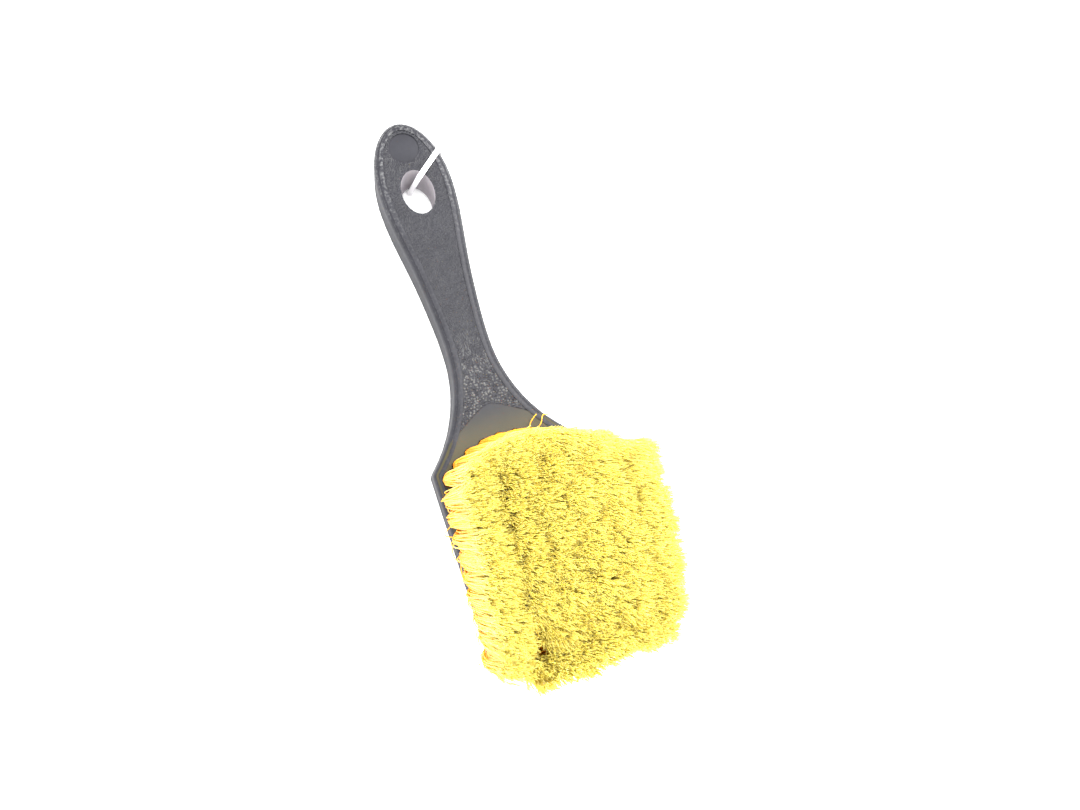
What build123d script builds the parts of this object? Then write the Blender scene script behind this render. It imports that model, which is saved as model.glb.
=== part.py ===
from build123d import *
import os
from math import cos, radians, sin, sqrt, tan

# Short-handled scrub brush lying flat on its back, bristles up.
# +X runs from the handle end to the toe of the block, +Z is up, Z=0 is the floor.

# ---- main sizes, mm ----
shift = -107.5              # moves the middle of the brush's length to X=0
side_shift = -5.5           # moves the middle of the leaning bristles to Y=0

thickness = 20.0            # of handle and block
grip_half = 14.9            # widest place of the handle
grip_end_length = 27.1      # its end is half an ellipse of this length
grip_taper = ((45.0, 13.4), (60.0, 11.2), (76.0, 9.6))  # half widths down to the neck
neck_x = 92.2               # narrowest place
neck_half = 8.9
edge_radius = 3.0           # smooth rounded border of handle and block

flare_radius = 58.8         # hollow curve from the neck to the block
flare_angle = 44.0
block_half = 28.5
shoulder_radius = 3.6
toe_x = 215.0
toe_corner_radius = 13.0

panel_inset = 3.7           # grained panel starts this far inside the outline
panel_corner = 1.0          # rounding of the panel's shoulders
panel_depth = 0.35

relief_depth = 1.6          # back of the handle end stands clear of the floor by this
relief_length = 38.0
relief_ramp = 6.0

hole_s = 29.5               # hanging hole, measured from the handle end
hole_half_length = 9.0
hole_half_width = 6.4
recess_s = 10.9             # shallow round recess beyond the hole
recess_radius = 5.9
recess_depth = 0.8

socket_radius = 2.5         # drilled tuft holes
socket_depth = 12.5
tuft_root_radius = 2.25
tuft_root_depth = 11.8
trim = 50.8                 # free length of the filaments
ring_tip_radius = 2.9
inner_tip_radius = 4.2

anchor_length = 3.8         # flat wire that holds a folded tuft down
anchor_wire = 0.5
anchor_height = 1.7
anchor_depth = 9.6
anchor_gap = 0.3

arc_radius = 34.4           # front arc of tufts
arc_tufts = 9
arc_half_angle = 42.2
arc_apex_x = 130.8
side_tufts = 9
side_pitch = 6.7
side_y = 23.1
toe_tufts = 7
toe_pitch = 6.0
toe_row_x = 207.0
inner_rows = (3, 4, 4, 4, 4, 3)
inner_first_x = 142.5
inner_row_pitch = 10.6
inner_pitch = 10.6
fan_front = 5.0             # tips of the front row stand this far to the toe
fan_toe = 1.0               # and those of the toe row this far
lean_side = 5.5             # every tip leans this far towards +Y
fan_side = 8.5              # and the outer rows spread this far to their sides

tie_width = 2.0             # nylon tie, a snug closed loop round the handle's edge
tie_thickness = 1.1
tie_edge = 0.3              # rounding of its four long edges
tie_lean = 9.7              # lean of the loop's plane from upright
tie_turn = 49.8             # direction of the strap over the handle face
tie_hole_s = 23.2           # where the strap goes down into the hole
tie_hole_y = 3.2
tie_corner = 2.0
tie_lift = 0.85             # middle of the strap above the handle's skin
tie_front_hole = 1.3        # corners of the loop along the strap, from the hole's rim
tie_back_hole = 3.1
tie_front_edge = -14.6
tie_back_edge = -16.0
lock_length = 5.0           # flat joint of the tie, outside the handle's edge
lock_width = 3.8
lock_thickness = 1.8
lock_overlap = 0.6
lock_middle = -15.2         # middle of the strap where the joint is

# ---- planes ----
along = Vector(1, 0, 0)
normal = Vector(0, 0, 1)
# Tuft face and front of the handle: x runs from the handle end to the toe.
face = Plane(origin=(shift, side_shift, thickness), x_dir=along, z_dir=normal)


# ---- outline ----
def brush_outline(inset=0):
    """Round handle end, tapered grip, neck, flared shoulders and block."""
    turn = radians(flare_angle)
    radius = flare_radius + inset
    centre_y = neck_half + flare_radius
    flare_x = neck_x + radius * sin(turn)
    flare_y = centre_y - radius * cos(turn)
    middle_x = neck_x + radius * sin(turn / 2)
    middle_y = centre_y - radius * cos(turn / 2)
    half = block_half - inset
    shoulder_x = flare_x + (half - flare_y) / tan(turn)
    end_x = toe_x - inset
    with BuildSketch() as outline:
        with BuildLine():
            EllipticalCenterArc(
                (grip_end_length, 0), grip_end_length - inset, grip_half - inset,
                start_angle=90, arc_size=180,
            )
            for s in (1, -1):
                taper = [(x, s * (y - inset)) for x, y in grip_taper]
                Spline(
                    (grip_end_length, s * (grip_half - inset)), *taper,
                    (neck_x, s * (neck_half - inset)), tangents=((1, 0), (1, 0)),
                )
                ThreePointArc(
                    (neck_x, s * (neck_half - inset)), (middle_x, s * middle_y),
                    (flare_x, s * flare_y),
                )
                Line((flare_x, s * flare_y), (shoulder_x, s * half))
                Line((shoulder_x, s * half), (end_x, s * half))
                Line((end_x, s * half), (end_x, 0))
        make_face()
        shoulders = [v for v in outline.vertices() if abs(v.X - shoulder_x) < 0.1]
        fillet(shoulders, radius=max(shoulder_radius - inset, panel_corner))
        toes = [v for v in outline.vertices() if abs(v.X - end_x) < 0.1 and abs(v.Y) > 1]
        fillet(toes, radius=toe_corner_radius - inset)
    return outline.sketch


# ---- places of the tufts on the face: (x, y) in face coordinates ----
def ring_places():
    """Front arc, two straight sides and toe row."""
    places = []
    for i in range(arc_tufts):
        angle = radians(arc_half_angle * (2 * i / (arc_tufts - 1) - 1))
        places.append((arc_apex_x + arc_radius * (1 - cos(angle)), arc_radius * sin(angle)))
    side_start = arc_apex_x + arc_radius * (1 - cos(radians(arc_half_angle)))
    for s in (-1, 1):
        for i in range(side_tufts):
            places.append((side_start + (i + 1) * side_pitch, s * side_y))
    for i in range(toe_tufts):
        places.append((toe_row_x, toe_pitch * (i - (toe_tufts - 1) / 2)))
    return places


def inner_places():
    """Rows across the block inside the ring."""
    places = []
    for row, count in enumerate(inner_rows):
        for i in range(count):
            x = inner_first_x + row * inner_row_pitch
            places.append((x, inner_pitch * (i - (count - 1) / 2)))
    return places


def tip_of(x, y):
    """Middle of a tuft's tip: the bristles lean to the toe and to +Y, and spread sideways."""
    along_field = (x - arc_apex_x) / (toe_row_x - arc_apex_x)
    lean_x = fan_front + (fan_toe - fan_front) * along_field
    lean_y = lean_side + fan_side * y / side_y
    height = sqrt(trim**2 - lean_x**2 - lean_y**2)
    return x + lean_x, y + lean_y, height


ring = ring_places()
inner = inner_places()
places = ring + inner


# ---- handle and block, one moulding ----
with BuildPart() as handle_block:
    with BuildSketch(face):
        add(brush_outline())
    extrude(amount=-thickness)
    rims = []
    for edge in handle_block.edges():
        height = face.to_local_coords(edge.position_at(0.5)).Z
        if min(abs(height), abs(height + thickness)) < 0.01:
            rims.append(edge)
    fillet(rims, radius=edge_radius)
    with BuildSketch(Plane(origin=face.origin, x_dir=along, z_dir=(0, -1, 0))):
        with BuildLine():
            Polyline(
                (-edge_radius, -thickness + relief_depth),
                (relief_length, -thickness + relief_depth),
                (relief_length + relief_ramp, -thickness),
                (relief_length + relief_ramp, -thickness - edge_radius),
                (-edge_radius, -thickness - edge_radius),
                close=True,
            )
        make_face()
    extrude(amount=2 * grip_half, both=True, mode=Mode.SUBTRACT)
    with BuildSketch(face):
        add(brush_outline(panel_inset))
    extrude(amount=-panel_depth, mode=Mode.SUBTRACT)
    with BuildSketch(face):
        with Locations((recess_s, 0)):
            Circle(recess_radius)
    extrude(amount=-recess_depth, mode=Mode.SUBTRACT)
    with BuildSketch(face):
        with Locations((hole_s, 0)):
            Ellipse(hole_half_length, hole_half_width)
    extrude(amount=-thickness, mode=Mode.SUBTRACT)
    with BuildSketch(face):
        with Locations(*places):
            Circle(socket_radius)
    extrude(amount=-socket_depth, mode=Mode.SUBTRACT)


# ---- tufts ----
def make_tuft(x, y, tip_radius):
    """One tuft: a round root folded over its wire anchor, and a fanned free length."""
    tip_x, tip_y, tip_z = tip_of(x, y)
    mouth = -panel_depth
    with BuildPart() as tuft:
        with BuildSketch(face.offset(-tuft_root_depth)):
            with Locations((x, y)):
                Circle(tuft_root_radius)
        extrude(amount=tuft_root_depth + mouth)
        with BuildSketch(face.offset(mouth)):
            with Locations((x, y)):
                Circle(tuft_root_radius)
        with BuildSketch(face.offset(tip_z)):
            with Locations((tip_x, tip_y)):
                Circle(tip_radius)
        loft()
        with BuildSketch(face.offset(-anchor_depth - anchor_gap)):
            with Locations((x, y)):
                Rectangle(2 * socket_radius, anchor_wire + 2 * anchor_gap)
        extrude(amount=anchor_height + 2 * anchor_gap, mode=Mode.SUBTRACT)
    return tuft.part


ring_names = [f"tuft_ring_{i + 1:02d}" for i in range(len(ring))]
inner_names = [f"tuft_inner_{i + 1:02d}" for i in range(len(inner))]
tufts = {}
for name, (x, y) in zip(ring_names, ring):
    tufts[name] = make_tuft(x, y, ring_tip_radius)
for name, (x, y) in zip(inner_names, inner):
    tufts[name] = make_tuft(x, y, inner_tip_radius)

# ---- flat wire anchors, one in each tuft hole ----
with BuildPart() as tuft_anchors:
    with BuildSketch(face.offset(-anchor_depth)):
        with Locations(*places):
            Rectangle(anchor_length, anchor_wire)
    extrude(amount=anchor_height)

# ---- nylon tie through the hanging hole ----
tie_turn_sin = sin(radians(tie_turn))
tie_turn_cos = cos(radians(tie_turn))
# over the face, from the handle's edge to the hole
strap_along = tie_turn_cos * along - tie_turn_sin * Vector(0, 1, 0)
strap_across = tie_turn_sin * along + tie_turn_cos * Vector(0, 1, 0)
loop_down = -cos(radians(tie_lean)) * normal - sin(radians(tie_lean)) * strap_across
loop_normal = strap_along.cross(loop_down)
tie_entry = face.from_local_coords((tie_hole_s, tie_hole_y, 0))
loop = Plane(origin=tie_entry, x_dir=strap_along, z_dir=loop_normal)

back = (thickness - relief_depth) / cos(radians(tie_lean))


def tie_outline():
    """Middle line of the closed strap, in the loop's own plane."""
    with BuildSketch() as outline:
        with BuildLine():
            FilletPolyline(
                (tie_front_edge, -tie_lift),
                (tie_front_hole, -tie_lift),
                (tie_back_hole, back + tie_lift),
                (tie_back_edge, back + tie_lift),
                radius=tie_corner,
                close=True,
            )
        make_face()
    return outline.sketch


strap_outside = offset(tie_outline(), amount=tie_thickness / 2)
strap_inside = offset(tie_outline(), amount=-tie_thickness / 2)

with BuildPart() as hang_tie:
    with BuildSketch(loop.offset(-tie_width / 2)):
        add(strap_outside)
        add(strap_inside, mode=Mode.SUBTRACT)
    extrude(amount=tie_width)
    long_edges = [e for e in hang_tie.edges() if abs(e.tangent_at(0.5).dot(loop_normal)) < 0.5]
    fillet(long_edges, radius=tie_edge)
    lock_x = lock_middle - (tie_thickness + lock_thickness) / 2 + lock_overlap
    with BuildSketch(loop.offset(-lock_width / 2)):
        with Locations((lock_x, back / 2)):
            RectangleRounded(lock_thickness, lock_length, tie_edge)
    extrude(amount=lock_width)

# ---- files ----
parts = {
    "handle_block": handle_block.part,
    "tuft_anchors": tuft_anchors.part,
    "hang_tie": hang_tie.part,
    **tufts,
}
os.makedirs("parts", exist_ok=True)
for name, part in parts.items():
    part.label = name
    export_step(part, f"parts/{name}.step")
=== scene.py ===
import math

import bpy
import numpy as np
from mathutils import Matrix, Vector


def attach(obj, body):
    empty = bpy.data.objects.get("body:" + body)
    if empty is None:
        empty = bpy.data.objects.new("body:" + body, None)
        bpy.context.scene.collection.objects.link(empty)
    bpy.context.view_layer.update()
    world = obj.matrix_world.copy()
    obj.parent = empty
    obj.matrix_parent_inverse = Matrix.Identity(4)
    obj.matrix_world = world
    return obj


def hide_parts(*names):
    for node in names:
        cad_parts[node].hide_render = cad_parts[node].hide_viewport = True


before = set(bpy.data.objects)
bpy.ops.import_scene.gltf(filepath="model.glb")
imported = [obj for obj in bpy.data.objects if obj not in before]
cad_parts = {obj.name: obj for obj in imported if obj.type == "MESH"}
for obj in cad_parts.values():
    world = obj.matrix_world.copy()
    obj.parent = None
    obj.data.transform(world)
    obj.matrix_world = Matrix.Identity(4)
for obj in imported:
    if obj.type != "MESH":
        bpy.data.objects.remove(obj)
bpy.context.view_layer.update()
scene = bpy.context.scene

# ---- camera, at the photograph's viewing angle ----
camera_data = bpy.data.cameras.new("camera")
camera_data.sensor_width = 36.0
camera_data.lens = 27.03
camera_data.clip_start = 0.01
camera_data.clip_end = 20.0
camera = bpy.data.objects.new("camera", camera_data)
scene.collection.objects.link(camera)
scene.camera = camera
camera_back = -Vector((-0.07267, 0.21534, -0.97383)).normalized()
camera_right = Vector((-0.94562, 0.29552, 0.13591)).cross(camera_back).normalized()
camera_up = camera_back.cross(camera_right)
turn = Matrix((camera_right, camera_up, camera_back)).transposed()
camera.matrix_world = Matrix.Translation((0.03857, -0.05389, 0.32452)) @ turn.to_4x4()

# ---- the face of block and handle, as in the CAD part ----
MM = 0.001
ORIGIN = np.array((-0.1075, -0.0055, 0.02))  # end of the handle on the face, metres
# sizes on the face, millimetres
TRIM = 50.8
ARC_APEX, ARC_RADIUS, ARC_HALF = 130.8, 34.4, 42.2
ARC_TUFTS, SIDE_TUFTS, TOE_TUFTS = 9, 9, 7
SIDE_PITCH, TOE_PITCH = 6.7, 6.0
SIDE_Y, TOE_ROW = 23.1, 207.0
INNER_ROWS, INNER_FIRST, INNER_PITCH = (3, 4, 4, 4, 4, 3), 142.5, 10.6
PANEL_DEPTH = 0.35
GRIP_END, GRIP_HALF = 27.1, 14.9
NECK_X, NECK_HALF, FLARE_RADIUS = 92.2, 8.9, 58.8
TAPER_X = (GRIP_END, 45.0, 60.0, 76.0, NECK_X)
TAPER_HALF = (GRIP_HALF, 13.4, 11.2, 9.6, NECK_HALF)
HOLE_X, HOLE_LONG, HOLE_WIDE = 29.5, 9.0, 6.4
RECESS_X = 10.9
# edge of the smooth pad before the tufts: a rounded V
PAD_APEX, PAD_SLANT, PAD_ROUND = 115.0, 0.64, 4.0


def to_world(points):
    """Points in face millimetres to the row frame in metres."""
    return ORIGIN + MM * np.asarray(points, float)


def add_object(name, verts, faces):
    """A smooth-shaded mesh from an array of points and a list of faces."""
    mesh = bpy.data.meshes.new(name)
    mesh.from_pydata(verts.tolist(), [], faces)
    mesh.update()
    mesh.polygons.foreach_set("use_smooth", [True] * len(mesh.polygons))
    obj = bpy.data.objects.new(name, mesh)
    scene.collection.objects.link(obj)
    return obj


# ---- node helpers ----
class Nodes:
    """Short names for building a material's node tree."""

    def __init__(self, name):
        self.material = bpy.data.materials.new(name)
        self.material.use_nodes = True
        self.tree = self.material.node_tree
        self.tree.nodes.clear()
        self.output = self.tree.nodes.new("ShaderNodeOutputMaterial")

    def new(self, kind, **values):
        node = self.tree.nodes.new(kind)
        for key, value in values.items():
            setattr(node, key, value)
        return node

    def link(self, a, b):
        self.tree.links.new(a, b)

    def math(self, operation, a, b=None, c=None):
        node = self.new("ShaderNodeMath", operation=operation)
        for socket, value in zip(node.inputs, (a, b, c)):
            if value is None:
                continue
            if isinstance(value, (int, float)):
                socket.default_value = value
            else:
                self.link(value, socket)
        return node.outputs[0]

    def ramp(self, value, low, high, to_low=0.0, to_high=1.0):
        node = self.new("ShaderNodeMapRange", interpolation_type="SMOOTHSTEP")
        self.link(value, node.inputs[0])
        for i, v in enumerate((low, high, to_low, to_high)):
            node.inputs[i + 1].default_value = v
        return node.outputs[0]

    def colour(self, value, stops):
        node = self.new("ShaderNodeValToRGB")
        self.link(value, node.inputs[0])
        elements = node.color_ramp.elements
        while len(elements) < len(stops):
            elements.new(0.5)
        for element, (place, rgb) in zip(elements, stops):
            element.position = place
            element.color = (*rgb, 1.0)
        return node.outputs[0]

    def mix(self, factor, a, b):
        node = self.new("ShaderNodeMix", data_type="RGBA")
        for socket, value in ((node.inputs[0], factor), (node.inputs[6], a), (node.inputs[7], b)):
            if isinstance(value, (int, float)):
                socket.default_value = value
            elif isinstance(value, tuple):
                socket.default_value = (*value, 1.0)
            else:
                self.link(value, socket)
        return node.outputs[2]

    def noise(self, coords, scale, detail=3.0, roughness=0.5):
        node = self.new("ShaderNodeTexNoise")
        self.link(coords, node.inputs["Vector"])
        node.inputs["Scale"].default_value = scale
        node.inputs["Detail"].default_value = detail
        node.inputs["Roughness"].default_value = roughness
        return node

    def bump(self, height, strength, distance, normal=None):
        node = self.new("ShaderNodeBump")
        self.link(height, node.inputs["Height"])
        node.inputs["Strength"].default_value = strength
        node.inputs["Distance"].default_value = distance
        if normal is not None:
            self.link(normal, node.inputs["Normal"])
        return node.outputs[0]


def object_coordinates(n):
    return n.new("ShaderNodeTexCoord").outputs["Object"]


def face_coordinates(n):
    """Object coordinates, and the same in face millimetres: along, side, up."""
    coords = object_coordinates(n)
    split = n.new("ShaderNodeSeparateXYZ")
    n.link(coords, split.inputs[0])
    x, y, z = split.outputs
    along = n.math("MULTIPLY", n.math("SUBTRACT", x, float(ORIGIN[0])), 1000.0)
    side = n.math("MULTIPLY", n.math("SUBTRACT", y, float(ORIGIN[1])), 1000.0)
    up = n.math("MULTIPLY", n.math("SUBTRACT", z, float(ORIGIN[2])), 1000.0)
    return coords, along, side, up


def distance_from(n, along, side, x, y, stretch=1.0):
    """Distance in the face from a point; stretch over 1 makes an ellipse along X."""
    dx = n.math("DIVIDE", n.math("SUBTRACT", along, x), stretch)
    dy = n.math("SUBTRACT", side, y)
    return n.math("SQRT", n.math("ADD", n.math("MULTIPLY", dx, dx), n.math("MULTIPLY", dy, dy)))


def make_plastic():
    n = Nodes("charcoal_plastic")
    coords, along, side, up = face_coordinates(n)
    # where the panel is: the shallow pocket's floor
    low = n.ramp(up, -0.60, -0.50)
    high = n.ramp(up, -0.20, -0.12, 1.0, 0.0)
    panel = n.math("MULTIPLY", low, high)
    # smooth pad in front of the tufts: a rounded V
    slant = n.math("MULTIPLY", side, PAD_SLANT)
    v_edge = n.math("SQRT", n.math("MULTIPLY_ADD", slant, slant, PAD_ROUND))
    before_pad = n.math("SUBTRACT", n.math("ADD", v_edge, PAD_APEX), along)
    grained = n.math("MULTIPLY", n.ramp(before_pad, -0.2, 0.4), panel)
    pad = n.math("MULTIPLY", n.ramp(before_pad, -0.2, 0.4, 1.0, 0.0), panel)
    recess = distance_from(n, along, side, RECESS_X, 0.0)
    recess_mask = n.ramp(recess, 5.7, 6.1, 1.0, 0.0)
    grained = n.math("MULTIPLY", grained, n.math("SUBTRACT", 1.0, recess_mask))
    hole = distance_from(n, along, side, HOLE_X, 0.0, HOLE_LONG / HOLE_WIDE)
    wall = n.ramp(hole, HOLE_WIDE + 0.02, HOLE_WIDE + 0.1, 1.0, 0.0)
    in_hole = n.math("MULTIPLY", wall, n.ramp(up, -0.40, -0.50))

    mottle = n.noise(coords, 90.0, 4.0, 0.6).outputs["Fac"]
    fine = n.noise(coords, 1400.0, 4.0, 0.6)
    warp = n.noise(coords, 420.0, 2.0, 0.5)
    shifted = n.new("ShaderNodeVectorMath", operation="MULTIPLY_ADD")
    n.link(warp.outputs["Color"], shifted.inputs[0])
    shifted.inputs[1].default_value = (0.0022, 0.0022, 0.0)
    n.link(coords, shifted.inputs[2])
    worm = n.new("ShaderNodeTexVoronoi", feature="SMOOTH_F1")
    n.link(shifted.outputs[0], worm.inputs["Vector"])
    worm.inputs["Scale"].default_value = 1150.0
    worm.inputs["Smoothness"].default_value = 0.35
    grain_height = n.math("MULTIPLY", n.math("SUBTRACT", 1.0, worm.outputs["Distance"]), grained)

    base = n.colour(mottle, ((0.30, (0.006, 0.006, 0.009)), (0.70, (0.012, 0.012, 0.016))))
    dust = n.math("MULTIPLY", n.ramp(fine.outputs["Fac"], 0.56, 0.70), 0.35)
    base = n.mix(n.math("MULTIPLY", dust, grained), base, (0.06, 0.06, 0.065))
    # painted shade: the grain's grooves are darkened in the base colour
    groove_shade = n.math("MULTIPLY", n.ramp(worm.outputs["Distance"], 0.35, 0.75), grained)
    base = n.mix(n.math("MULTIPLY", groove_shade, 0.55), base, (0.007, 0.007, 0.009))
    # painted light: an olive-yellow tint on the smooth pad next to the tufts stands in for yellow
    # light bounced from the bristles
    base = n.mix(n.math("MULTIPLY", pad, n.ramp(along, 116.0, 132.0)), base, (0.034, 0.029, 0.012))
    # painted light: the hole's wall is lighter grey, standing in for light reflected from the white
    # floor
    base = n.mix(in_hole, base, (0.30, 0.28, 0.30))
    # lighter grey mottle along the rim, strongest at the handle end
    rim = n.math("MULTIPLY", n.ramp(up, -2.2, -0.4), n.math("SUBTRACT", 1.0, panel))
    rim = n.math("MULTIPLY", rim, n.ramp(along, 8.0, 60.0, 1.0, 0.12))
    rim = n.math("MULTIPLY", rim, n.math("SUBTRACT", 1.0, recess_mask))
    rim_mottle = n.ramp(n.noise(coords, 800.0, 5.0, 0.65).outputs["Fac"], 0.42, 0.68)
    base = n.mix(n.math("MULTIPLY", n.math("MULTIPLY", rim, rim_mottle), 0.55), base, (0.13, 0.13, 0.13))

    shader = n.new("ShaderNodeBsdfPrincipled")
    n.link(base, shader.inputs["Base Color"])
    shader.inputs["Roughness"].default_value = 0.40
    shader.inputs["Specular IOR Level"].default_value = 0.17
    fine_bump = n.bump(fine.outputs["Fac"], 0.25, 0.00004)
    grain_bump = n.bump(grain_height, 0.9, 0.00022, fine_bump)
    n.link(grain_bump, shader.inputs["Normal"])
    # the side walls are duller than the face
    dull = n.new("ShaderNodeBsdfDiffuse")
    n.link(base, dull.inputs["Color"])
    both = n.new("ShaderNodeMixShader")
    walls = n.math("MULTIPLY", n.ramp(up, -3.6, -1.2, 1.0, 0.0), 0.6)
    n.link(walls, both.inputs[0])
    n.link(shader.outputs[0], both.inputs[1])
    n.link(dull.outputs[0], both.inputs[2])
    n.link(both.outputs[0], n.output.inputs[0])
    return n.material


def make_ridge_plastic():
    """The same plastic on the raised grain, with painted silvery highlight that grows near the
    block.
    """
    n = Nodes("grain_plastic")
    coords, along, _, _ = face_coordinates(n)
    patch = n.ramp(n.noise(coords, 420.0, 3.0, 0.6).outputs["Fac"], 0.40, 0.62)
    # painted highlight: the ridges are lighter silver near the block, and also lighter towards the
    # handle end
    silver_highlight = n.math("ADD", n.ramp(along, 82.0, 106.0, 0.10, 1.0), n.ramp(along, 6.0, 34.0, 0.25, 0.0))
    base = n.mix(n.math("MULTIPLY", silver_highlight, patch), (0.007, 0.007, 0.010), (0.055, 0.055, 0.055))
    shader = n.new("ShaderNodeBsdfPrincipled")
    n.link(base, shader.inputs["Base Color"])
    shader.inputs["Roughness"].default_value = 0.34
    shader.inputs["Specular IOR Level"].default_value = 0.24
    fine = n.noise(coords, 1400.0, 4.0, 0.6)
    n.link(n.bump(fine.outputs["Fac"], 0.25, 0.00004), shader.inputs["Normal"])
    n.link(shader.outputs[0], n.output.inputs[0])
    return n.material


def make_bristle():
    n = Nodes("yellow_filament")
    coords, _, _, up = face_coordinates(n)
    height = n.ramp(up, 0.0, TRIM)
    streaks = n.noise(coords, 700.0, 2.0, 0.5)
    patches = n.noise(coords, 120.0, 3.0, 0.55)
    tone = n.math("MULTIPLY_ADD", streaks.outputs["Fac"], 0.35, height)
    tone = n.math("MULTIPLY_ADD", patches.outputs["Fac"], 0.25, tone)
    tone = n.math("MULTIPLY", tone, 0.62)
    # painted shade and light: the colour runs from deep orange at the roots to pale yellow at the
    # tips, with random streaks and patches of tone
    colour = n.colour(
        tone,
        (
            (0.10, (1.00, 0.60, 0.06)),
            (0.45, (1.00, 0.76, 0.14)),
            (0.66, (1.00, 0.88, 0.30)),
            (0.80, (1.00, 0.94, 0.42)),
            (1.00, (1.00, 0.96, 0.50)),
        ),
    )
    shader = n.new("ShaderNodeBsdfPrincipled")
    n.link(colour, shader.inputs["Base Color"])
    shader.inputs["Roughness"].default_value = 0.38
    shader.inputs["Specular IOR Level"].default_value = 0.45
    clear = n.new("ShaderNodeBsdfTranslucent")
    n.link(colour, clear.inputs[0])
    both = n.new("ShaderNodeMixShader")
    both.inputs[0].default_value = 0.62
    n.link(shader.outputs[0], both.inputs[1])
    n.link(clear.outputs[0], both.inputs[2])
    n.link(both.outputs[0], n.output.inputs[0])
    return n.material


def make_nylon():
    n = Nodes("white_nylon")
    coords = object_coordinates(n)
    cloud = n.noise(coords, 500.0, 3.0, 0.5).outputs["Fac"]
    base = n.colour(cloud, ((0.3, (0.80, 0.79, 0.80)), (0.7, (0.93, 0.92, 0.93))))
    shader = n.new("ShaderNodeBsdfPrincipled")
    n.link(base, shader.inputs["Base Color"])
    shader.inputs["Roughness"].default_value = 0.32
    shader.inputs["Subsurface Weight"].default_value = 0.25
    shader.inputs["Subsurface Radius"].default_value = (0.001, 0.001, 0.001)
    n.link(n.bump(cloud, 0.2, 0.00005), shader.inputs["Normal"])
    n.link(shader.outputs[0], n.output.inputs[0])
    return n.material


def make_wire():
    n = Nodes("anchor_steel")
    coords = object_coordinates(n)
    drawn = n.noise(coords, 2500.0, 2.0, 0.5).outputs["Fac"]
    base = n.colour(drawn, ((0.3, (0.45, 0.45, 0.46)), (0.7, (0.62, 0.62, 0.63))))
    shader = n.new("ShaderNodeBsdfPrincipled")
    n.link(base, shader.inputs["Base Color"])
    shader.inputs["Metallic"].default_value = 1.0
    shader.inputs["Roughness"].default_value = 0.3
    n.link(shader.outputs[0], n.output.inputs[0])
    return n.material


def make_floor():
    n = Nodes("pale_floor")
    cloud = n.noise(object_coordinates(n), 3.0, 2.0, 0.5).outputs["Fac"]
    base = n.colour(cloud, ((0.2, (0.93, 0.93, 0.93)), (0.8, (0.95, 0.95, 0.95))))
    shader = n.new("ShaderNodeBsdfPrincipled")
    n.link(base, shader.inputs["Base Color"])
    shader.inputs["Roughness"].default_value = 0.9
    shader.inputs["Specular IOR Level"].default_value = 0.1
    n.link(shader.outputs[0], n.output.inputs[0])
    return n.material


plastic = make_plastic()
ridge_plastic = make_ridge_plastic()
bristle = make_bristle()
nylon = make_nylon()
wire = make_wire()


def dress(node, material):
    """Give a CAD node a material in its own slots."""
    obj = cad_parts[node]
    if not obj.data.materials:
        obj.data.materials.append(material)
    for i in range(len(obj.data.materials)):
        obj.data.materials[i] = material


dress("handle_block", plastic)
dress("tuft_anchors", wire)
dress("hang_tie", nylon)


# ---- tufts: the same places and order as in the CAD part ----
def ring_places():
    """Front arc, two straight sides and toe row."""
    places = []
    for i in range(ARC_TUFTS):
        a = math.radians(ARC_HALF * (2 * i / (ARC_TUFTS - 1) - 1))
        places.append((ARC_APEX + ARC_RADIUS * (1 - math.cos(a)), ARC_RADIUS * math.sin(a)))
    start = ARC_APEX + ARC_RADIUS * (1 - math.cos(math.radians(ARC_HALF)))
    for s in (-1, 1):
        for i in range(SIDE_TUFTS):
            places.append((start + (i + 1) * SIDE_PITCH, s * SIDE_Y))
    for i in range(TOE_TUFTS):
        places.append((TOE_ROW, TOE_PITCH * (i - (TOE_TUFTS - 1) / 2)))
    return places


def inner_places():
    """Rows across the block inside the ring."""
    places = []
    for row, count in enumerate(INNER_ROWS):
        for i in range(count):
            places.append((INNER_FIRST + row * INNER_PITCH, INNER_PITCH * (i - (count - 1) / 2)))
    return places


ROOT_RADIUS = 2.15
FILAMENT_RADIUS = 0.19
MAIN_RINGS = 11
MAIN_SIDES = 4
SPLIT_START = 0.80  # the filament splits at this part of its height
FLAGS = 3
FLAG_RINGS = 4
FLAG_SIDES = 3
FLAG_TAPER = (0.80, 0.66, 0.58, 0.42)
GOLDEN_ANGLE = 2.399963
CLUMPS = 6
TUFTED_MIDDLE, TUFTED_HALF = 169.0, 38.0
FRONT_END, TOE_START, SHORT_ROW = 140.0, 200.0, 20.0


def tube_mesh(lines, radii, sides):
    """Open tubes along many upright lines: lines is (count, rings, 3), in millimetres."""
    count, rings, _ = lines.shape
    angle = np.arange(sides) * 2 * math.pi / sides
    circle = np.stack((np.cos(angle), np.sin(angle), 0 * angle), -1)
    offsets = radii[..., None, None] * circle
    verts = (lines[:, :, None, :] + offsets).reshape(-1, 3)
    i = np.arange(count)[:, None, None] * rings * sides
    j = np.arange(rings - 1)[None, :, None] * sides
    k = np.arange(sides)[None, None, :]
    k2 = (k + 1) % sides
    a = (i + j + k).ravel()
    b = (i + j + k2).ravel()
    c = (i + j + sides + k2).ravel()
    d = (i + j + sides + k).ravel()
    faces = np.stack((a, b, c, d), -1)
    return verts, faces


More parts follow.
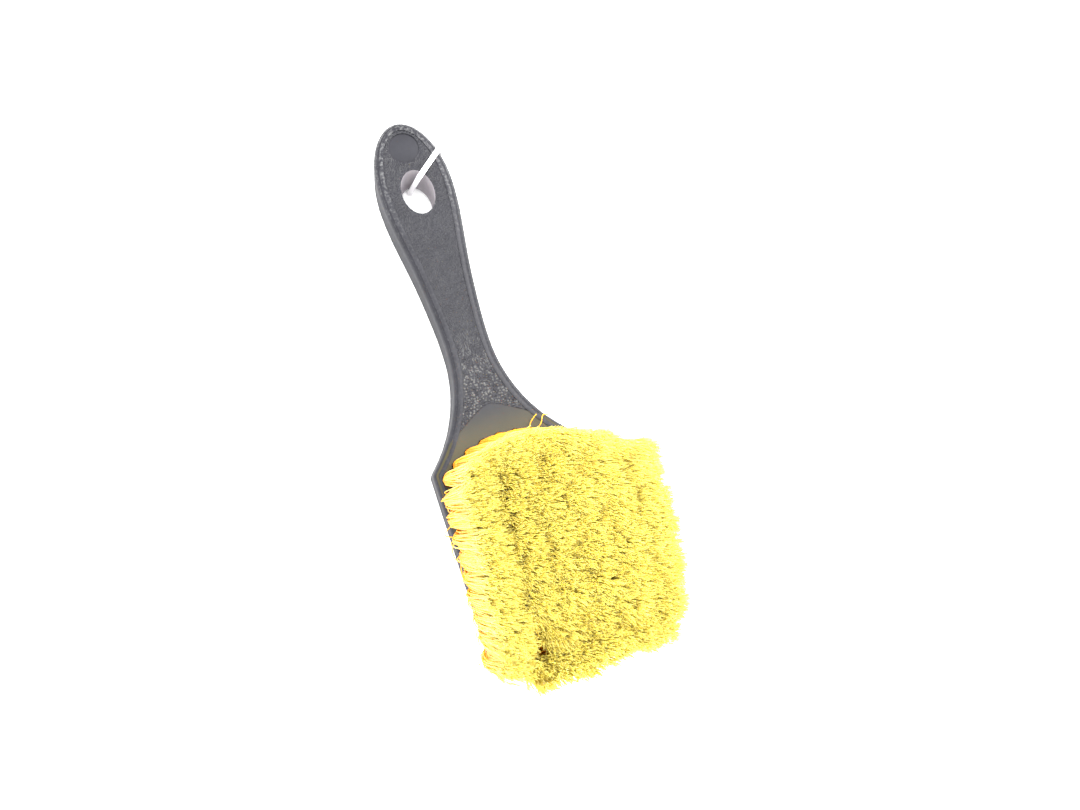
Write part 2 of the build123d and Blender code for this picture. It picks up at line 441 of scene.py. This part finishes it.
def lean_and_bow(x, y, outer):
    """Where a tuft's tip stands from its root, and how far its middle bulges outward."""
    u = (x - TUFTED_MIDDLE) / TUFTED_HALF
    v = y / SIDE_Y
    twist = -6.1 if u < 0 else -2.6
    lean_x = 4.8 - 2.8 * u + 1.0 * v + twist * u * v
    lean_y = 8.2 - 3.0 * u + 1.2 * v
    if not outer and abs(u) > 0.6:
        # the short rows spread over the same width as the full ones
        lean_y += 0.24 * y
    bow_x, bow_y = 0.0, 0.0
    if outer and v > 0.3:
        lean_y = 11.6 + 1.5 * v - 3.2 * u - 1.5 * max(0.0, u)
    if outer and v < -0.9:
        lean_y = 4.6 - 3.4 * u
        bow_y = -5.4 - 1.2 * u
    if outer and x < FRONT_END:
        lean_x += 2.0
        bow_x = -0.4
        bow_y = -2.2 * max(0.0, -v)
    if outer and x > TOE_START:
        bow_x = 1.5
        lean_x = 1.4
        lean_y = 5.3 + 5.0 * v
    return lean_x, lean_y, bow_x, bow_y


def make_tuft(name, node, x, y, count, tip_radius, rough, rng):
    """Filaments that leave one round root, bow and lean, and split at their ends."""
    outer = "ring" in name
    lean_x, lean_y, bow_x, bow_y = lean_and_bow(x, y, outer)
    lean_x += rng.normal(0, 0.35 + rough)
    lean_y += rng.normal(0, 0.35 + rough)
    trim = TRIM + rng.normal(0, 0.5)
    # places in the round root, and the same filament's place in the wider tip
    q = np.sqrt((np.arange(count) + 0.5) / count)
    a = np.arange(count) * GOLDEN_ANGLE + rng.uniform(0, 6.28)
    q = np.clip(q + rng.normal(0, 0.04, count), 0, 1.02)
    unit = np.stack((q * np.cos(a), q * np.sin(a)), -1)
    tip_xy = unit * tip_radius * np.array((1.0, 1.15)) + rng.normal(0, 0.7, (count, 2))
    # a few clumps cling together at the tip
    clumps = rng.normal(0, tip_radius * 0.6, (CLUMPS, 2))
    nearest = np.argmin(((tip_xy[:, None] - clumps) ** 2).sum(-1), 1)
    pull = rng.uniform(0.0, 0.22, count)[:, None]
    tip_xy = tip_xy * (1 - pull) + clumps[nearest] * pull
    t = np.linspace(0, 1, MAIN_RINGS)
    spread = t ** (3.2 if outer and x < FRONT_END else 1.7)
    root = np.array((x, y))
    tip = root + np.array((lean_x, lean_y))
    middle = root + (tip - root) * (0.85 * t + 0.15 * t**2)[:, None]
    xy = middle[None] + unit[:, None] * ROOT_RADIUS * (1 - spread)[None, :, None]
    xy = xy + tip_xy[:, None] * spread[None, :, None]
    length = trim + rng.normal(0, 0.9, count) - 0.035 * (tip_xy**2).sum(-1)
    bow = rng.normal(0, 0.55, (count, 1, 2)) * np.sin(math.pi * t)[None, :, None]
    phase = rng.uniform(0, 6.28, (count, 1))
    turns = 5.5 * math.pi * t[None] * rng.uniform(0.8, 1.2, (count, 1))
    wave = 0.22 * t[None] * np.sin(phase + turns)
    heading = rng.uniform(0, 6.28, (count, 1))
    bulge = np.sin(math.pi * t**0.9)[:, None] * np.array((bow_x, bow_y))
    xy = xy + bow + bulge[None]
    xy[..., 0] += wave * np.cos(heading)
    xy[..., 1] += wave * np.sin(heading)
    reach = np.sqrt(np.maximum(length**2 - ((tip + tip_xy - root) ** 2).sum(-1), 30.0**2))
    z = -PANEL_DEPTH - 0.3 + (reach[:, None] + PANEL_DEPTH) * t[None]
    cut = z[:, :1] + (z[:, -1:] - z[:, :1]) * SPLIT_START
    z_main = z[:, :1] + (cut - z[:, :1]) * t[None]
    ts = SPLIT_START * t
    xm = np.stack([[np.interp(ts, t, xy[f, :, c]) for c in (0, 1)] for f in range(count)])
    lines = np.concatenate((xm.transpose(0, 2, 1), z_main[..., None]), -1)
    radii = np.full((count, MAIN_RINGS), FILAMENT_RADIUS) * rng.uniform(0.85, 1.15, (count, 1))
    verts, faces = tube_mesh(lines, radii, MAIN_SIDES)
    all_verts, all_faces = [verts], [faces]
    start = len(verts)
    # split ends
    tf = np.linspace(0, 1, FLAG_RINGS)
    direction = lines[:, -1] - lines[:, -2]
    direction /= np.abs(direction[:, 2:3])
    rest = (z[:, -1] - cut[:, 0])[:, None]
    for _ in range(FLAGS):
        turn_to = rng.uniform(0, 6.28, count)
        out = rng.uniform(0.25, 1.15, count)
        push = np.stack((np.cos(turn_to) * out, np.sin(turn_to) * out), -1)
        rise = rest * rng.uniform(0.78, 1.06, (count, 1)) * tf[None]
        p = lines[:, -1, None, :] + direction[:, None] * rise[..., None]
        p[..., :2] += push[:, None] * (tf**1.4)[None, :, None]
        r = FILAMENT_RADIUS * np.array(FLAG_TAPER)[None] * np.ones((count, 1))
        verts, faces = tube_mesh(p, r, FLAG_SIDES)
        all_verts.append(verts)
        all_faces.append(faces + start)
        start += len(verts)
    faces = np.concatenate(all_faces).tolist()
    obj = add_object(name, to_world(np.concatenate(all_verts)), faces)
    obj.data.materials.append(bristle)
    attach(obj, "root")
    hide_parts(node)


rng = np.random.default_rng(7)
for i, (x, y) in enumerate(ring_places()):
    right_or_toe = y > 10 or x > 195
    tip_radius = 5.5 if right_or_toe else 5.8
    if x > 205.0 and y < 5.0:
        tip_radius = 6.6
    make_tuft(
        f"bristles_ring_{i + 1:02d}", f"tuft_ring_{i + 1:02d}", x, y,
        250, tip_radius, 1.0 if right_or_toe else 0.1, rng,
    )
for i, (x, y) in enumerate(inner_places()):
    make_tuft(
        f"bristles_inner_{i + 1:02d}", f"tuft_inner_{i + 1:02d}", x, y,
        360, 8.4 if abs(x - TUFTED_MIDDLE) > SHORT_ROW else 7.6, 0.3, rng,
    )

# ---- moulded grain of the panel: worm-like ridges, and rounder pebbles near the block ----
def half_width(x):
    """Half width of handle and flare; between the CAD part's points the grip is straight here."""
    if x < GRIP_END:
        return GRIP_HALF * math.sqrt(max(0.0, 1 - ((GRIP_END - x) / GRIP_END) ** 2))
    if x < NECK_X:
        return float(np.interp(x, TAPER_X, TAPER_HALF))
    flare = x - NECK_X
    return NECK_HALF + FLARE_RADIUS - math.sqrt(FLARE_RADIUS**2 - flare**2)


def grain_spots(rng):
    """Places of the ridges on the panel, and how coarse each one is, 0 to 1."""
    spots = []
    x = 4.6
    while x < 127.0:
        coarse = min(max((x - 88.0) / 22.0, 0.0), 1.0)
        step = 0.86 + 0.42 * coarse
        limit = half_width(x) - 4.1
        count = int(2 * max(limit, 0.0) / step)
        for i in range(count + 1):
            px = x + rng.uniform(-0.3, 0.3)
            py = -limit + (i + rng.uniform(0.1, 0.9)) * step
            in_recess = math.hypot(px - RECESS_X, py) < 6.6
            in_hole = math.hypot((px - HOLE_X) / HOLE_LONG, py / HOLE_WIDE) < 1.13
            in_pad = px > PAD_APEX - 0.7 + math.sqrt(PAD_ROUND + (PAD_SLANT * py) ** 2)
            if abs(py) < limit and not (in_recess or in_hole or in_pad):
                spots.append((px, py, coarse))
        x += step * 0.9
    return spots


def make_grain():
    """Low mounds on the panel's floor, long on the handle and rounder near the block."""
    rng = np.random.default_rng(21)
    spots = np.array(grain_spots(rng))
    x, y, coarse = spots.T
    count = len(spots)
    flow = 1.9 * np.sin(x / 8.3 + 0.9 * np.sin(y / 3.7)) + 1.6 * np.cos(y / 3.1 + x / 14.0)
    heading = flow + rng.normal(0, 0.45, count) * (1 + coarse)

    def size(fine_range, coarse_range):
        fine_size = rng.uniform(*fine_range, count)
        coarse_size = rng.uniform(*coarse_range, count)
        return fine_size * (1 - coarse) + coarse_size * coarse

    half_long = size((0.45, 1.05), (0.45, 0.72))
    half_wide = size((0.17, 0.26), (0.36, 0.52))
    tall = size((0.09, 0.17), (0.20, 0.32))
    sides = 8
    a = np.arange(sides) * 2 * math.pi / sides
    verts = []
    for scale, level in ((1.0, -0.04), (0.72, 0.62)):
        lx = half_long[:, None] * np.cos(a) * scale
        ly = half_wide[:, None] * np.sin(a) * scale
        px = x[:, None] + lx * np.cos(heading)[:, None] - ly * np.sin(heading)[:, None]
        py = y[:, None] + lx * np.sin(heading)[:, None] + ly * np.cos(heading)[:, None]
        pz = -PANEL_DEPTH + tall[:, None] * level + 0 * px
        verts.append(np.stack((px, py, pz), -1))
    top = np.stack((x, y, -PANEL_DEPTH + tall), -1)[:, None]
    verts = np.concatenate((verts[0], verts[1], top), 1)
    each = 2 * sides + 1
    faces = []
    for i in range(count):
        start = i * each
        for k in range(sides):
            k2 = (k + 1) % sides
            faces.append((start + k, start + k2, start + sides + k2, start + sides + k))
            faces.append((start + sides + k, start + sides + k2, start + 2 * sides))
    obj = add_object("panel_grain", to_world(verts.reshape(-1, 3)), faces)
    obj.data.materials.append(ridge_plastic)
    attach(obj, "root")


make_grain()


# ---- stray filaments at the foot of the bristles ----
def tube_along(points, radius, sides=6, rings=28):
    """Vertices and faces of a tube along a smooth line through a few face points."""
    p = np.array(points, float)
    t = np.linspace(0, len(p) - 1, rings)
    i = np.clip(t.astype(int), 0, len(p) - 2)
    f = (t - i)[:, None]
    p0, p1, p2, p3 = (p[np.clip(i + k, 0, len(p) - 1)] for k in (-1, 0, 1, 2))
    line = 0.5 * (
        2 * p1 + (p2 - p0) * f + (2 * p0 - 5 * p1 + 4 * p2 - p3) * f**2
        + (3 * p1 - p0 - 3 * p2 + p3) * f**3
    )
    tangent = np.gradient(line, axis=0)
    tangent /= np.linalg.norm(tangent, axis=1)[:, None]
    across = np.cross(tangent, (0.31, 0.22, 0.92))
    across /= np.linalg.norm(across, axis=1)[:, None]
    other = np.cross(tangent, across)
    a = np.arange(sides) * 2 * math.pi / sides
    ring = across[:, None] * np.cos(a)[None, :, None] + other[:, None] * np.sin(a)[None, :, None]
    verts = (line[:, None] + ring * radius).reshape(-1, 3)
    faces = []
    for j in range(rings - 1):
        for k in range(sides):
            k2 = (k + 1) % sides
            faces.append(
                (j * sides + k, j * sides + k2, (j + 1) * sides + k2, (j + 1) * sides + k)
            )
    return verts, faces


STRAY_RADIUS = 0.2
STRAYS = (
    ((144.0, -24.0, 0.5), (145.5, -27.0, 3.5), (146.5, -28.6, 5.0)),
    (
        (156.0, -25.0, 0.5), (156.5, -28.5, 2.5), (158.5, -31.0, 3.5),
        (160.5, -28.0, 3.0), (162.0, -25.0, 4.0),
    ),
    (
        (161.0, -25.0, 0.5), (163.5, -29.5, 2.0), (168.0, -30.0, 3.0),
        (171.0, -27.0, 5.0), (172.0, -25.0, 9.0),
    ),
    ((166.0, -25.0, 1.0), (170.0, -28.5, 3.0), (176.0, -29.5, 5.0), (181.0, -27.5, 9.0)),
    ((132.0, 11.0, 1.0), (128.5, 13.0, 3.0), (126.5, 15.5, 4.5)),
    ((132.5, 13.0, 1.0), (130.5, 16.0, 4.0), (127.5, 18.0, 4.0), (128.5, 20.0, 6.0)),
)
verts, faces, start = [], [], 0
for points in STRAYS:
    tube, quads = tube_along(points, STRAY_RADIUS)
    verts.append(tube)
    faces += [tuple(v + start for v in quad) for quad in quads]
    start += len(tube)
strays = add_object("stray_filaments", to_world(np.concatenate(verts)), faces)
strays.data.materials.append(bristle)
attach(strays, "root")

# ---- floor and light ----
floor = add_object(
    "floor", np.array(((-3, -3, 0), (3, -3, 0), (3, 3, 0), (-3, 3, 0)), float), [(0, 1, 2, 3)]
)
floor.data.materials.append(make_floor())

world = bpy.data.worlds.new("studio")
scene.world = world
world.use_nodes = True
world.node_tree.nodes["Background"].inputs[0].default_value = (1.0, 1.0, 1.0, 1.0)
world.node_tree.nodes["Background"].inputs[1].default_value = 3.7


def area_light(name, place, target, size, power):
    data = bpy.data.lights.new(name, "AREA")
    data.shape = "DISK"
    data.size = size
    data.energy = power
    light = bpy.data.objects.new(name, data)
    light.location = place
    heading = Vector(target) - Vector(place)
    light.rotation_euler = heading.to_track_quat("-Z", "Y").to_euler()
    scene.collection.objects.link(light)


area_light("key", (-0.35, 0.75, 1.3), (0.0, 0.0, 0.0), 0.9, 34.0)
area_light("top", (0.1, -0.1, 1.6), (0.0, 0.0, 0.0), 1.2, 30.0)

scene.view_settings.view_transform = "Standard"
